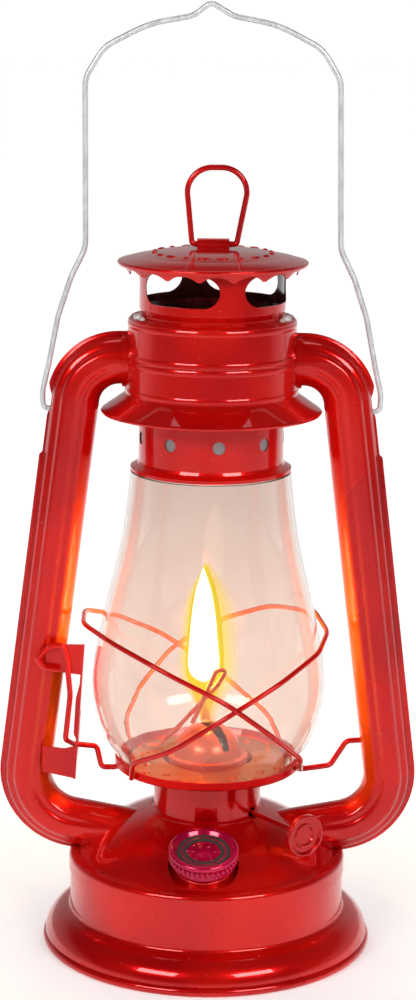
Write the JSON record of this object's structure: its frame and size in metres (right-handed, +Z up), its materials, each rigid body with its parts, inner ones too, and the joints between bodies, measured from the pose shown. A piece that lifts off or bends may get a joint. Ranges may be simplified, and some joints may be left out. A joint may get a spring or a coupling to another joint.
{
  "type": "oil lamp",
  "caption": "Hurricane oil lamp: red fuel fount, curved side air tubes, glass globe in crossed wire guards, vented chimney and wire bail.",
  "frame": {"origin": "centre of the foot ring, on the surface the lamp stands on", "axes": "+Z up along the chimney, +X from the lift-lever tube to the other side tube, -Y towards the filler cap"},
  "size_m": [0.151, 0.1198, 0.3373],
  "materials": {
    "red_enamel": "glossy candy-red enamel over tinned sheet steel",
    "crimson_enamel": "glossy crimson enamel over a knurled pressing",
    "zinc_steel": "galvanised steel wire and pressings, satin",
    "burner_metal": "plain tinned steel, heat dulled",
    "clear_glass": "clear blown glass",
    "cotton": "woven flat cotton",
    "seal": "matt fuel-proof gasket"
  },
  "bodies": {
    "root": {"fount_shell": "red_enamel", "fount_top": "red_enamel", "fount_floor": "red_enamel", "air_chamber_floor": "red_enamel", "filler_seat": "red_enamel", "filler_neck": "red_enamel", "burner_socket": "burner_metal", "burner_plug": "burner_metal", "burner_drum": "red_enamel", "air_gallery": "burner_metal", "wick_tube": "burner_metal", "burner_cone": "red_enamel", "side_tube_left": "red_enamel", "side_tube_right": "red_enamel", "tube_socket_left": "red_enamel", "tube_socket_right": "red_enamel", "hood_shell": "red_enamel", "hood_top": "red_enamel", "hood_guide": "red_enamel", "lift_guide": "red_enamel", "chimney_spring": "zinc_steel"},
    "globe_carrier": {"globe": "clear_glass", "globe_plate": "red_enamel", "lift_wire": "red_enamel", "guard_wire_left": "red_enamel", "guard_wire_right": "red_enamel", "cone_catch_wire": "red_enamel", "cone_clip": "red_enamel"},
    "chimney": {"globe_skirt": "red_enamel", "chimney_tube": "burner_metal", "spring_seat": "red_enamel", "chimney_crown": "red_enamel", "cap_skirt": "red_enamel", "chimney_cap": "red_enamel", "ring_strap": "red_enamel"},
    "lift_ring": {"lift_ring": "red_enamel"},
    "bail": {"bail": "zinc_steel"},
    "wick_adjuster": {"wick_shaft": "red_enamel", "wick_knob": "red_enamel"},
    "wick": {"wick": "cotton"},
    "cap_seal": {"filler_gasket": "seal"},
    "filler_cap": {"filler_cap": "crimson_enamel"}
  },
  "joints": [
    {"name": "bail_swing", "type": "hinge", "parent": "root", "child": "bail", "pos_m": [0, 0, 0.1965], "axis": [1, 0, 0], "range_deg": [-135, 135]},
    {"name": "globe_lift", "type": "hinge", "parent": "root", "child": "globe_carrier", "pos_m": [0.056, 0, 0.0758], "axis": [0, 1, 0], "range_deg": [0, 5.5]},
    {"name": "chimney_rise", "type": "slide", "parent": "root", "child": "chimney", "axis": [0, 0, 1], "range_m": [0, 0.0121], "deforming": ["chimney_spring"]},
    {"name": "ring_swing", "type": "hinge", "parent": "chimney", "child": "lift_ring", "pos_m": [0, 0, 0.2549], "axis": [1, 0, 0], "range_deg": [-90, 90]},
    {"name": "knob_turn", "type": "hinge", "parent": "root", "child": "wick_adjuster", "pos_m": [0.00531, 0.00392, 0.0514], "axis": [-0.5934, 0.8049, 0], "range_deg": [-84.5, 31.5]},
    {"name": "wick_feed", "type": "slide", "parent": "root", "child": "wick", "axis": [0, 0, 1], "range_m": [-0.0081, 0.0031]},
    {"name": "cap_rise", "type": "slide", "parent": "root", "child": "cap_seal", "axis": [0, -0.2924, 0.9563], "range_m": [0, 0.0031]},
    {"name": "cap_turn", "type": "hinge", "parent": "cap_seal", "child": "filler_cap", "pos_m": [-0.001, -0.0395, 0.048], "axis": [0, -0.2924, 0.9563], "range_deg": [0, 720]}
  ],
  "couplings": [
    {"joint": "chimney_rise", "follows": "globe_lift", "m_per_rad": 0.125},
    {"joint": "wick_feed", "follows": "knob_turn", "m_per_rad": 0.0054},
    {"joint": "cap_rise", "follows": "cap_turn", "m_per_rad": 0.000238}
  ]
}
